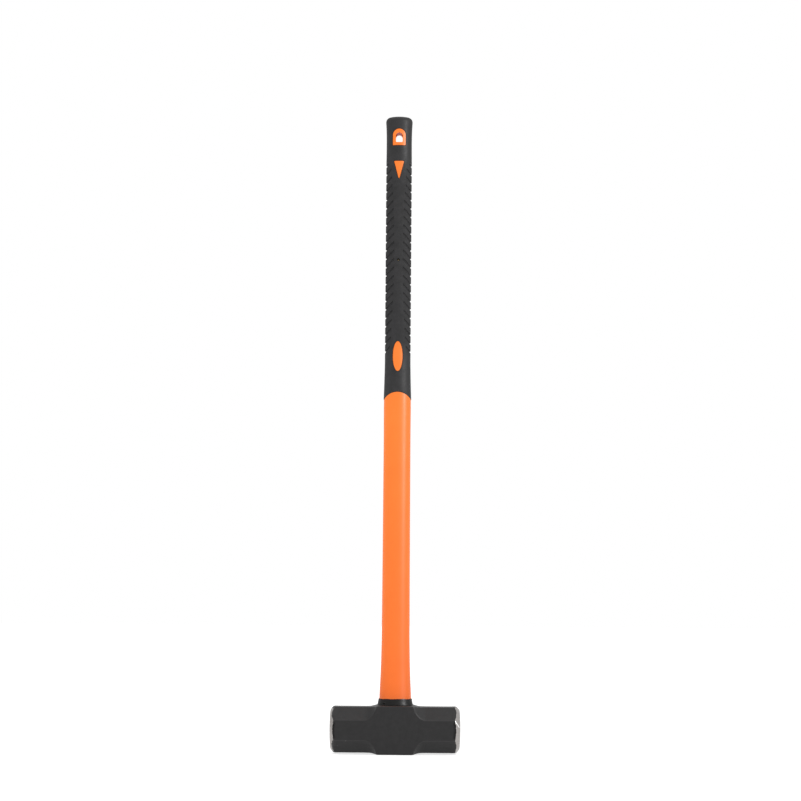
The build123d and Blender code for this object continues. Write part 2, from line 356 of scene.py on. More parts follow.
def grip_rows():
    """The grip's closed skin: up inside, along the arched lip, up the tread and over the butt."""
    wall_inset = GRIP_HALF - RUBBER_INNER
    inner_top = jacket_high[2]
    rows = [oval_ring(GRIP_HALF, inner_top, wall_inset) * np.array([0.5, 0.5, 1])]
    for z in (inner_top, 850.0, 800.0, 740.0, 680.0, 620.0, 560.0):
        rows.append(oval_ring(GRIP_HALF, z, wall_inset))

    lip_half = grip_half_width(np.full(len(nominal), ARCH_SIDE_Z + 4))
    lip_z = arch_height(nominal[:, 0] * lip_half / GRIP_HALF)
    for inset, rise in ((3.9, 0), (2.0, 0), (LIP_RADIUS, 0), (0.13, 0.13), (0.0, LIP_RADIUS)):
        half = grip_half_width(lip_z + rise)
        rows.append(oval_ring(half, lip_z + rise, inset))

    first_side_z = GROOVE_LOWEST - 1.5 * GROOVE_HALF_WIDTH
    first_row_z = first_side_z - 1.5 * GROOVE_HALF_WIDTH * (groove_stretch - 1) + groove_rise
    foot_rows = 34
    for step in range(1, foot_rows):
        share = (step / foot_rows) ** 1.1
        z = (lip_z + LIP_RADIUS) * (1 - share) + first_row_z * share
        rows.append(oval_ring(grip_half_width(z), z, -band_lift(z)))

    land_rows = 3
    for k in range(GROOVE_COUNT):
        line = GROOVE_LOWEST + k * GROOVE_PITCH + groove_rise
        if k:
            start = rows[-1][:, 2]
            end = line - 1.5 * GROOVE_HALF_WIDTH * groove_stretch
            for step in range(1, land_rows + 1):
                z = start + (end - start) * step / (land_rows + 1)
                rows.append(oval_ring(grip_half_width(z), z, -band_lift(z)))
        for place, depth in GROOVE_PROFILE:
            z = line + place * GROOVE_HALF_WIDTH * groove_stretch
            band = SHORT_GROOVE_BAND if k == GROOVE_COUNT - 1 else band_edge(z)
            cut = smoothstep(*GROOVE_END_FADE, np.abs(nominal[:, 0]) - band)
            inset = GROOVE_DEPTH * depth * cut - band_lift(z)
            rows.append(oval_ring(grip_half_width(z), z, inset))

    start = rows[-1][:, 2]
    butt_rows = 14
    for step in range(1, butt_rows + 1):
        z = start + (BUTT_EDGE - start) * step / butt_rows
        rows.append(oval_ring(grip_half_width(z), z, -band_lift(z)))

    butt_half = float(grip_half_width(np.array(BUTT_EDGE)))

    def dome(ring):
        return top_z - (ring[:, 0] ** 2 + ring[:, 1] ** 2) / (2 * BUTT_DOME_RADIUS)

    for angle in range(0, 91, 9):
        inset = BUTT_RADIUS * (1 - math.cos(math.radians(angle)))
        ring = oval_ring(butt_half, 0.0, inset)
        ring[:, 2] = dome(ring) - BUTT_RADIUS * (1 - math.sin(math.radians(angle)))
        rows.append(ring)
    rim = rows[-1]
    for share in (0.88, 0.74, 0.58, 0.4, 0.2):
        ring = rim * np.array([share, share, 1])
        ring[:, 2] = dome(ring)
        rows.append(ring)
    return rows, (0, 0, inner_top), (0, 0, top_z)


def both_sides(near, far):
    """The same stretch of Y in front of the handle and behind it."""
    return (-far, -near), (near, far)


def make_grip():
    points, faces = closed_rows(*grip_rows())
    grip = make_object("grip_moulding", points, faces)
    through = (-CUTTER_REACH, CUTTER_REACH)
    for outline in PAD_OUTLINES:
        combine(grip, prism("cutter", outline(WINDOW_SEAM), *through), "DIFFERENCE")
    # Painted shade: black rubber in the pin hole's wall and bottom, so that the hole reads dark.
    shade_lining = pin_hole_outline(PIN_RADIUS + PIN_SHADE_LINING)
    for low, high in both_sides(PIN_SHADE_LINING_DEPTH, PIN_SHADE_LINING_END):
        combine(grip, prism("shade_lining", shade_lining, low, high), "UNION")
    for low, high in both_sides(PIN_SHADE_FLOOR_DEPTH, CUTTER_REACH):
        combine(grip, prism("cutter", pin_hole_outline(PIN_RADIUS), low, high), "DIFFERENCE")
    floor_hole = pin_hole_outline(PIN_SHADE_FLOOR_HOLE, PIN_SHADE_FLOOR_DROP)
    combine(grip, prism("cutter", floor_hole, *through), "DIFFERENCE")
    finish_shading(grip, 38)
    return grip


grip = make_grip()
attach(grip, "root")
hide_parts("rubber_grip")


# ---------------------------------------------------------------- orange jacket
# Height and half width of the shaft along X.
SHAFT_OUTLINE = (
    (60.0, 22.25), (79.5, 22.25), (96.0, 21.3), (121.5, 20.25), (161.0, 19.5),
    (225.5, 19.2), (335.0, 18.95), (445.0, 18.75), (518.0, 19.1), (540.0, 19.2),
)
SHAFT_RATIO = 0.787
STEM_HALF = 15.25
STEM_HALF_Y = 11.4
JACKET_COLUMNS = 180
PARTING_RIDGE = 0.12
PAD_RECESS = 0.12
PAD_BACK = 9.0
PAD_FRONT = 20.0
ARCH_GAP = 0.4
JACKET_END_GAP = 0.05
FLUSH_HEIGHTS = (
    525.0, 535.0, 545.0, 555.0, 600.0, 700.0, 810.0, 832.0, 845.0, 860.0, 875.0, 885.0, 891.5,
)


def ellipse_ring(half_x, half_y, height, turn):
    """One ring of an ellipse. Sizes and height are numbers or one value per column."""
    x = half_x * np.cos(turn)
    y = half_y * np.sin(turn)
    return np.stack([x, y, np.broadcast_to(height, turn.shape)], 1)


def shaft_half_width(z):
    """Half the shaft's width along X: its outline, smoothed over 24 mm."""
    spread = np.linspace(-12, 12, 25)
    heights, halves = np.array(SHAFT_OUTLINE).T
    return float(np.interp(z + spread, heights, halves).mean())


def jacket_rows():
    turn = np.arange(JACKET_COLUMNS) / JACKET_COLUMNS * 2 * math.pi
    side_turn = np.radians([0.45, 0.9, 179.1, 179.55, 180.45, 180.9, 359.1, 359.55])
    turn = np.sort(np.concatenate([turn, side_turn]))
    off_side = np.degrees(np.abs(np.arcsin(np.sin(turn))))
    ridge = PARTING_RIDGE * np.clip(1 - off_side / 0.6, 0, 1)
    foot, end = jacket_low[2], jacket_high[2] - JACKET_END_GAP
    heights = np.concatenate([[foot], np.arange(foot + 2, 489, 4.0)])
    rows = []
    for z in heights:
        half = shaft_half_width(z)
        rows.append(ellipse_ring(half + ridge, half * SHAFT_RATIO + ridge, z, turn))
    side = ellipse_ring(1.0, SHAFT_RATIO, 0.0, turn)
    arch = arch_height(side[:, 0] * ARCH_HALF_WIDTH) - ARCH_GAP
    for share in (0.25, 0.5, 0.75, 1.0):
        z = heights[-1] * (1 - share) + arch * share
        half = np.array([shaft_half_width(v) for v in z])
        rows.append(ellipse_ring(half, half * SHAFT_RATIO, z, turn))
    ledge = rows[-1][:, 2]
    rows.append(ellipse_ring(STEM_HALF, STEM_HALF_Y, ledge, turn))
    for z in (520.0, 600.0, 700.0, 800.0, 850.0, end):
        rows.append(ellipse_ring(STEM_HALF, STEM_HALF_Y, z, turn))
    rows.insert(0, ellipse_ring(14.2, 10.2, foot, turn))
    return rows, (0, 0, foot), (0, 0, end)


def flush_body():
    """The grip's plain outer surface, set in by the pads' recess, to trim the pads to."""
    rows = [oval_ring(grip_half_width(np.array(z)), z, PAD_RECESS) for z in FLUSH_HEIGHTS]
    points, faces = closed_rows(rows, (0, 0, FLUSH_HEIGHTS[0]), (0, 0, FLUSH_HEIGHTS[-1]))
    return make_object("flush", points, faces)


def make_jacket():
    points, faces = closed_rows(*jacket_rows())
    jacket = make_object("jacket_moulding", points, faces)
    for outline in PAD_OUTLINES:
        for low, high in both_sides(PAD_BACK, PAD_FRONT):
            pad = prism("pad", outline(0.0), low, high)
            combine(pad, flush_body(), "INTERSECT")
            combine(jacket, pad, "UNION")
    hang_hole = prism("cutter", hang_hole_outline(), -CUTTER_REACH, CUTTER_REACH)
    combine(jacket, hang_hole, "DIFFERENCE")
    for low, high in both_sides(PAD_BACK, CUTTER_REACH):
        cutter = prism("cutter", pin_hole_outline(PIN_RADIUS + PIN_SHADE_LINING), low, high)
        combine(jacket, cutter, "DIFFERENCE")
    finish_shading(jacket, 35)
    return jacket


jacket = make_jacket()
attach(jacket, "root")
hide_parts("handle_jacket")

# ---------------------------------------------------------------- head
HEAD_AXIS_Z = 34.0
HEAD_HALF_LENGTH = 92.0
CHEEK_HALF = 32.0
CROWN_RISE = 2.0
CROWN_FLAT_END = 21.5
CROWN_BLEND_END = 36.0
CHEEK_CORNER = 2.6
FACET_DISTANCE = 32.74
FACET_START = 44.0
FACET_RUN_OUT = 19.5
FACE_RADIUS = 27.5
FACE_CROWN = 290.0
BEVEL_SLOPE = math.tan(math.radians(42.6))
FACE_EDGE_WIDTH = 1.428
FACE_EDGE_SOFTNESS = 0.22
BAR_START = 76.0
BAR_MIDDLE = 70.0
FORGING_WAVE = 0.22
FORGING_END = 84.0
CORNER_SHARPNESS = 150.0


def head_angles():
    """Angles round the head's long axis, close together at its edges."""
    coarse = np.arange(0, 360, 1.25)
    edges = np.arange(8) * 45 + 22.5
    corners = np.arange(4) * 90 + 45
    fine = [edge + np.arange(-2.0, 2.01, 0.5) for edge in edges]
    fine += [corner + np.arange(-4.5, 4.51, 0.75) for corner in corners]
    return np.radians(np.unique(np.round(np.concatenate([coarse, *fine]) % 360, 4)))


def face_profile(r):
    """Distance of the striking end from the head's middle at a radius r."""
    domed = HEAD_HALF_LENGTH - r**2 / (2 * FACE_CROWN)
    rim = HEAD_HALF_LENGTH - FACE_RADIUS**2 / (2 * FACE_CROWN)
    bevel = rim - BEVEL_SLOPE * (r - FACE_RADIUS)
    off_edge = (domed - bevel) / FACE_EDGE_WIDTH
    rounding = FACE_EDGE_WIDTH * FACE_EDGE_SOFTNESS * np.exp(-(off_edge**2))
    return np.minimum(domed, bevel) - rounding


def head_section(x, turn):
    """Radius of the forging about its long axis, and its distance from the nearest long edge."""
    across, up = np.abs(np.cos(turn)), np.abs(np.sin(turn))
    crown = 1 - smoothstep(CROWN_FLAT_END, CROWN_BLEND_END, np.abs(x))
    high = CHEEK_HALF + CROWN_RISE * crown
    side, top = CHEEK_HALF / np.maximum(across, 1e-6), high / np.maximum(up, 1e-6)
    flat = np.minimum(side, top)
    corner_y, corner_z = CHEEK_HALF - CHEEK_CORNER, high - CHEEK_CORNER
    along = corner_y * across + corner_z * up
    reach = np.maximum(along**2 - (corner_y**2 + corner_z**2 - CHEEK_CORNER**2), 0)
    on_corner = (reach > 0) & (flat * across > corner_y) & (flat * up > corner_z)
    square = np.where(on_corner, along + np.sqrt(reach), flat)
    into = np.clip(FACET_START - np.abs(x), 0.0, FACET_RUN_OUT)
    facet = FACET_DISTANCE + FACET_RUN_OUT - np.sqrt(FACET_RUN_OUT**2 - into**2)
    # Past the end of its arc, the facet leaves the square block.
    facet = facet + 10 * np.maximum(FACET_START - FACET_RUN_OUT - np.abs(x), 0)
    leaning = np.abs(np.cos(np.abs(np.mod(turn, math.pi / 2)) - math.pi / 4))
    facet = facet / leaning
    p = CORNER_SHARPNESS
    small, large = np.minimum(square, facet), np.maximum(square, facet)
    radius = small / (1 + (small / large) ** p) ** (1 / p)
    edge = np.minimum(large - small, np.abs(side - top) + 3 * (facet < square))
    return radius, edge


head_turn = head_angles()
bar_radius = head_section(np.full(head_turn.shape, BAR_MIDDLE), head_turn)[0]
bevel_edge = face_profile(bar_radius)


def head_ring(x, radius):
    y = radius * np.cos(head_turn)
    z = HEAD_AXIS_Z + radius * np.sin(head_turn)
    return np.stack([np.broadcast_to(x, y.shape), y, z], 1)


def head_end_rows():
    """Rows from the middle of a striking face, over its bevel, to the edge of the bar."""
    rows = []
    for share in (0.12, 0.28, 0.45, 0.62, 0.76, 0.86, 0.92, 0.96, 0.985):
        radius = FACE_RADIUS * share
        rows.append((face_profile(np.full_like(bar_radius, radius)), radius))
    for share in (0.0, 0.06, 0.14, 0.25, 0.42, 0.62, 0.8, 0.92, 0.97):
        radius = FACE_RADIUS + (bar_radius - FACE_RADIUS) * share
        rows.append((face_profile(radius), radius))
    rows.append((bevel_edge - 0.08, bar_radius - 0.09))
    for share in (0.04, 0.12, 0.3, 0.55, 0.8):
        rows.append((bevel_edge * (1 - share) + BAR_START * share, bar_radius))
    return rows


def head_rows():
    end = [(x, np.broadcast_to(radius, head_turn.shape)) for x, radius in head_end_rows()]
    middle = [BAR_START, BAR_MIDDLE, 64.0, 58.0, 52.0, 48.0, 46.0, 45.0]
    middle += list(np.arange(FACET_START, 22.9, -0.45)) + [22.4, 21.0, 17.0, 12.0, 6.0, 0.0]
    middle = middle + [-x for x in middle[-2::-1]]
    rows = [head_ring(x, radius) for x, radius in end]
    for x in middle:
        rows.append(head_ring(x, head_section(np.full(head_turn.shape, x), head_turn)[0]))
    rows += [head_ring(-x, radius) for x, radius in end[::-1]]
    left_pole = (-HEAD_HALF_LENGTH, 0, HEAD_AXIS_Z)
    return rows[::-1], left_pole, (HEAD_HALF_LENGTH, 0, HEAD_AXIS_Z)


def forge_texture(points):
    """Moves the bar's skin inward by a low, uneven amount and leaves the ground ends alone."""
    axis = np.array([0, 0, HEAD_AXIS_Z])
    outward = (points - axis) * np.array([0, 1, 1])
    radius = np.linalg.norm(outward, axis=1)
    skin = 1 - smoothstep(BAR_START, FORGING_END, np.abs(points[:, 0]))
    wave = 0.5 + 0.5 * (0.7 * noise_at(points, 24.0, 1) + 0.3 * noise_at(points, 7.0, 2))
    moved = np.where(radius > 5, FORGING_WAVE * wave * skin, 0)
    return points - outward * (moved / np.maximum(radius, 1e-6))[:, None]


EYE_MOUTH = (19.5, 15.5)
EYE_THROAT = (17.0, 13.0)
EYE_LIP = 1.1
EYE_HEIGHTS = (
    -2.0, 0.0, 0.25, 0.6, 1.1, 8.0, 18.0, 28.0, 34.0,
    40.0, 50.0, 60.0, 66.9, 67.4, 67.75, 68.0, 70.0,
)


def eye_rows():
    """The hourglass eye with rounded lips, run past both faces of the head."""
    turn = np.linspace(0, 2 * math.pi, 96, endpoint=False)
    height = HEAD_AXIS_Z * 2
    rows = []
    for z in EYE_HEIGHTS:
        deep = min(max(z, 0), max(height - z, 0))
        taper = deep / HEAD_AXIS_Z
        lip = EYE_LIP * (1 - math.sqrt(max(1 - (1 - min(deep / EYE_LIP, 1)) ** 2, 0)))
        sizes = zip(EYE_MOUTH, EYE_THROAT)
        half = [mouth * (1 - taper) + throat * taper + lip for mouth, throat in sizes]
        rows.append(ellipse_ring(half[0], half[1], z, turn))
    return rows, (0, 0, EYE_HEIGHTS[0]), (0, 0, EYE_HEIGHTS[-1])


LEFT_PAINT_OVERLAP = 2.3
RIGHT_PAINT_OVERLAP = -0.1
LEFT_SIDE_OVERLAP = 0.9
RIGHT_SIDE_OVERLAP = -1.0
SIDE_FACET_FADE = (21, 16)
# Where the paint at the ends of the side facets darkens: a painted dark reflection.
SHADED_FADE = (-3.2, -1.2)
# A small cut in the right bevel whose pale steel is partly a painted glint, a bright streak of
# highlight.
GLINT_NICK_START = np.array([84.2, -32.3, 47.6])
GLINT_NICK_END = np.array([89.4, -28.5, 39.3])
GLINT_NICK_WIDTH = 0.75


def mark_head(mesh):
    """Stores four values at each point. bare is how far it is past the ground line and edge how
    far from a long edge, in mm. shaded is 1 in a band at the ends of the side facets, where the
    paint is darkened as a painted dark reflection. The fourth value is 1 along a small cut in the
    right bevel, whose pale steel is partly a painted glint."""
    points = np.empty(len(mesh.vertices) * 3)
    mesh.vertices.foreach_get("co", points)
    points = points.reshape(-1, 3) / MM
    turn = np.mod(np.arctan2(points[:, 2] - HEAD_AXIS_Z, points[:, 1]), 2 * math.pi)
    line = np.interp(turn, head_turn, bevel_edge, period=2 * math.pi)
    side = smoothstep(*np.cos(np.radians(SIDE_FACET_FADE)), np.abs(np.cos(turn)))
    left = LEFT_PAINT_OVERLAP + (LEFT_SIDE_OVERLAP - LEFT_PAINT_OVERLAP) * side
    right = RIGHT_PAINT_OVERLAP + (RIGHT_SIDE_OVERLAP - RIGHT_PAINT_OVERLAP) * side
    overlap = np.where(points[:, 0] < 0, left, right)
    bare = np.abs(points[:, 0]) - line - overlap
    shaded = side * smoothstep(*SHADED_FADE, bare)
    run = GLINT_NICK_END - GLINT_NICK_START
    share = np.clip((points - GLINT_NICK_START) @ run / (run @ run), 0, 1)
    off_nick = np.linalg.norm(points - GLINT_NICK_START - share[:, None] * run, axis=1)
    glint_nick = 1 - smoothstep(0.4 * GLINT_NICK_WIDTH, 1.8 * GLINT_NICK_WIDTH, off_nick)
    edge = head_section(points[:, 0], turn)[1]
    edge = np.minimum(edge, 1 + np.maximum(np.abs(bare), 0))
    for name, values in (("bare", bare), ("edge", edge), ("shaded", shaded), ("glint_nick", glint_nick)):
        layer = mesh.attributes.new(name, "FLOAT", "POINT")
        layer.data.foreach_set("value", np.clip(values, -20, 20).astype(np.float32))


def make_head():
    points, faces = closed_rows(*head_rows())
    head = make_object("forged_head", forge_texture(points), faces)
    eye_points, eye_faces = closed_rows(*eye_rows())
    combine(head, make_object("eye", eye_points, eye_faces), "DIFFERENCE")
    mark_head(head.data)
    finish_shading(head, 30)
    return head


head = make_head()
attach(head, "root")
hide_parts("head")

# ---------------------------------------------------------------- neck collar
COLLAR_FOOT = (25.0, 20.0)
COLLAR_FOOT_Z = 67.75
COLLAR_TOP_Z = 77.0
COLLAR_WAVE = 0.35
COLLAR_COLUMNS = 144
COLLAR_RIM = (22.0, 18.0)
# Rows round the collar's skin, from the foot of its inner wall: share of its height, and distance
# out from its foot. Rows further in than COLLAR_WALL are the rim and the inner wall.
COLLAR_PROFILE = (
    (0.0, -3.1), (0.45, -3.1), (0.9, -3.0), (0.97, -2.6), (1.0, -2.35), (1.0, -1.7),
    (0.975, -1.42), (0.92, -1.3), (0.8, -1.2), (0.62, -0.95), (0.45, -0.66), (0.3, -0.4),
    (0.17, -0.18), (0.08, -0.04), (0.03, 0.0), (0.0, -0.15),
)
COLLAR_WALL = -1.45
COLLAR_LEAN = 1.5 / 1.3
NUB_PLACE = np.array([-15.5, -15.4, 71.4])
# How far the nub stands out, and its half height there.
NUB_PROFILE = ((-0.9, 0.9), (-0.2, 1.25), (0.3, 1.15), (0.65, 0.75))
NUB_STRETCH = 1.4


def collar_rows():
    """The collar's rings, in the order of its profile, with an uneven top."""
    turn = np.linspace(0, 2 * math.pi, COLLAR_COLUMNS, endpoint=False)
    rim = ellipse_ring(*COLLAR_RIM, COLLAR_TOP_Z, turn)
    lift = COLLAR_WAVE * (noise_at(rim, 9.0, 5) - 0.3)
    high = COLLAR_TOP_Z - COLLAR_FOOT_Z
    rings = []
    for up, out in COLLAR_PROFILE:
        spread = out * COLLAR_LEAN if out > COLLAR_WALL else out
        z = COLLAR_FOOT_Z + up * high + lift * up**2
        rings.append(ellipse_ring(COLLAR_FOOT[0] + spread, COLLAR_FOOT[1] + spread, z, turn))
    return rings


def make_collar():
    points, faces = ring_torus(collar_rows())
    collar = make_object("collar_moulding", points, [face[::-1] for face in faces])
    nub_turn = np.linspace(0, 2 * math.pi, 20, endpoint=False)
    nub = []
    for out, size in NUB_PROFILE:
        ring = ellipse_ring(size * NUB_STRETCH, size, 0.0, nub_turn)
        nub.append(np.stack([ring[:, 0], np.full(len(nub_turn), -out), ring[:, 1]], 1))
    nub_points, nub_faces = closed_rows(nub, (0, 1.0, 0), (0, -0.75, 0))
    combine(collar, make_object("nub", nub_points + NUB_PLACE, nub_faces), "UNION")
    finish_shading(collar, 50)
    return collar


collar = make_collar()
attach(collar, "root")
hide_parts("neck_collar")


# ---------------------------------------------------------------- materials
# Distances from the model's middle planes and heights, in metres, that bound a part of a material.
# The hole's bound the painted shade inside the hang hole, and the shaft's the painted shade
# that darkens the orange towards the head.
HOLE_HALF_WIDTH = 0.0050
HOLE_HALF_DEPTH = 0.0126
HOLE_SHADE_FADE = (0.849, 0.851)
SHAFT_SHADE_FADE = (0.07, 0.46)
TREAD_RISE = (0.55, 0.58)
TREAD_FALL = (0.80, 0.845)
# How far a surface has turned away from the viewer, from 0 to 1, where its gloss fades.
GLOSS_FADE = (0.45, 0.92)


class Paint:
    """A Principled material with helpers for its procedural parts. Lengths are in metres."""

    def __init__(self, name, **sockets):
        self.material = bpy.data.materials.new(name)
        self.material.use_nodes = True
        self.nodes = self.material.node_tree.nodes
        self.links = self.material.node_tree.links
        self.shader = self.nodes["Principled BSDF"]
        self.place = self.nodes.new("ShaderNodeTexCoord").outputs["Object"]
        for socket, value in sockets.items():
            self.shader.inputs[socket.replace("_", " ")].default_value = value

    def noise(self, size, detail=4.0, roughness=0.55, stretch=(1, 1, 1)):
        """Noise from 0 to 1 with features of about size, stretched along each axis."""
        spread = self.nodes.new("ShaderNodeMapping")
        spread.inputs["Scale"].default_value = [1 / s for s in stretch]
        node = self.nodes.new("ShaderNodeTexNoise")
        node.inputs["Scale"].default_value = 1 / size
        node.inputs["Detail"].default_value = detail
        node.inputs["Roughness"].default_value = roughness
        self.links.new(self.place, spread.inputs["Vector"])
        self.links.new(spread.outputs["Vector"], node.inputs["Vector"])
        return node.outputs["Fac"]

    def cells(self, size):
        """Distance to the nearest scattered point, in units of size."""
        node = self.nodes.new("ShaderNodeTexVoronoi")
        node.inputs["Scale"].default_value = 1 / size
        self.links.new(self.place, node.inputs["Vector"])
        return node.outputs["Distance"]

    def along(self, axis):
        """The model's own coordinate along an axis."""
        node = self.nodes.new("ShaderNodeSeparateXYZ")
        self.links.new(self.place, node.inputs["Vector"])
        return node.outputs[axis]

    def near_middle(self, axis, limit):
        """1 within a distance of the model's middle plane along an axis, and 0 outside it."""
        return self.math("LESS_THAN", self.math("ABSOLUTE", self.along(axis), 0.0), limit)

    def attribute(self, name):
        node = self.nodes.new("ShaderNodeAttribute")
        node.attribute_name = name
        return node.outputs["Fac"]

    def spread(self, value, low, high, to_low=0.0, to_high=1.0):
        """value moved from one range to another and kept inside it."""
        node = self.nodes.new("ShaderNodeMapRange")
        sockets = ("From Min", "From Max", "To Min", "To Max")
        for socket, number in zip(sockets, (low, high, to_low, to_high)):
            node.inputs[socket].default_value = number
        self.links.new(value, node.inputs["Value"])
        return node.outputs["Result"]

    def ramp(self, value, *stops):
        """Colour along value, from stops of position and linear colour."""
        node = self.nodes.new("ShaderNodeValToRGB")
        elements = node.color_ramp.elements
        elements[0].position, elements[0].color = stops[0][0], (*stops[0][1], 1)
        elements[1].position, elements[1].color = stops[-1][0], (*stops[-1][1], 1)
        for position, colour in stops[1:-1]:
            elements.new(position).color = (*colour, 1)
        self.links.new(value, node.inputs["Fac"])
        return node.outputs["Color"]

    def math(self, operation, first, second):
        node = self.nodes.new("ShaderNodeMath")
        node.operation = operation
        for socket, value in zip(node.inputs, (first, second)):
            if isinstance(value, (int, float)):
                socket.default_value = value
            else:
                self.links.new(value, socket)
        return node.outputs["Value"]

    def mix(self, kind, share, first, second):
        """first where share is 0 and second where it is 1, for one of the Mix node's data types."""
        # Each data type has sockets of its own under the same names, so they are taken by number.
        low, high, result = {"FLOAT": (2, 3, 0), "RGBA": (6, 7, 2)}[kind]
        node = self.nodes.new("ShaderNodeMix")
        node.data_type = kind
        for socket, value in ((0, share), (low, first), (high, second)):
            self.links.new(value, node.inputs[socket])
        return node.outputs[result]

    def colour_mix(self, share, first, second):
        return self.mix("RGBA", share, first, second)

    def number_mix(self, share, first, second):
        return self.mix("FLOAT", share, first, second)

    def set(self, socket, value):
        self.links.new(value, self.shader.inputs[socket])

    def bump(self, *layers):
        """Layers of height: each a value, its depth in metres and its strength."""
        normal = None
        for value, depth, strength in layers:
            node = self.nodes.new("ShaderNodeBump")
            node.inputs["Distance"].default_value = depth
            node.inputs["Strength"].default_value = strength
            self.links.new(value, node.inputs["Height"])
            if normal is not None:
                self.links.new(normal, node.inputs["Normal"])
            normal = node.outputs["Normal"]
        self.set("Normal", normal)

    def gloss(self, level):
        """Specular level facing the viewer, falling to nothing where the surface turns away."""
        node = self.nodes.new("ShaderNodeLayerWeight")
        node.inputs["Blend"].default_value = 0.5
        fading = self.spread(node.outputs["Facing"], *GLOSS_FADE, level, 0.0)
        self.set("Specular IOR Level", fading)

    def coat(self, obj):
        obj.data.materials.clear()
        obj.data.materials.append(self.material)


def orange_plastic():
    paint = Paint("orange_plastic")
    paint.gloss(0.3)
    cloud = paint.noise(0.03, detail=3)
    # Painted shade: the orange turns darker and redder towards the head, standing in for the shade
    # the head casts on the shaft's foot.
    up = paint.spread(paint.along("Z"), *SHAFT_SHADE_FADE)
    plain = paint.ramp(cloud, (0.3, (0.86, 0.192, 0.019)), (0.7, (0.90, 0.204, 0.022)))
    low = paint.ramp(cloud, (0.3, (0.84, 0.146, 0.013)), (0.7, (0.87, 0.155, 0.015)))
    skin = paint.colour_mix(up, low, plain)
    # Painted shade: the walls inside the hang hole get a darker, redder orange, standing in for the
    # shade there.
    in_width = paint.near_middle("X", HOLE_HALF_WIDTH)
    in_depth = paint.near_middle("Y", HOLE_HALF_DEPTH)
    in_height = paint.spread(paint.along("Z"), *HOLE_SHADE_FADE)
    inside = paint.math("MULTIPLY", paint.math("MULTIPLY", in_width, in_depth), in_height)
    shade = paint.ramp(cloud, (0.3, (0.60, 0.070, 0.020)), (0.7, (0.70, 0.085, 0.026)))
    paint.set("Base Color", paint.colour_mix(inside, skin, shade))
    scuff = paint.noise(0.004, detail=6, roughness=0.7, stretch=(1, 1, 6))
    paint.set("Roughness", paint.spread(scuff, 0.3, 0.75, 0.34, 0.46))
    grain = paint.noise(0.0012, detail=2)
    paint.bump((grain, 0.00004, 0.35), (paint.noise(0.009, detail=2), 0.0002, 0.12))
    return paint


def grip_rubber():
    paint = Paint("black_grip_rubber")
    paint.gloss(0.12)
    cloud = paint.noise(0.008, detail=5, roughness=0.6)
    dark, light = (0.027, 0.0268, 0.0273), (0.038, 0.0373, 0.0387)
    paint.set("Base Color", paint.ramp(cloud, (0.3, dark), (0.72, light)))
    worn = paint.spread(paint.noise(0.003, detail=5), 0.3, 0.7, -0.08, 0.08)
    above_foot = paint.spread(paint.along("Z"), *TREAD_RISE)
    below_butt = paint.spread(paint.along("Z"), *TREAD_FALL, 1.0, 0.0)
    tread = paint.math("MULTIPLY", above_foot, below_butt)
    paint.set("Roughness", paint.math("ADD", paint.spread(tread, 0.0, 1.0, 0.48, 0.8), worn))
    grain = paint.noise(0.0005, detail=2)
    paint.bump((grain, 0.00006, 0.5), (paint.noise(0.005, detail=3), 0.0003, 0.25))
    return paint


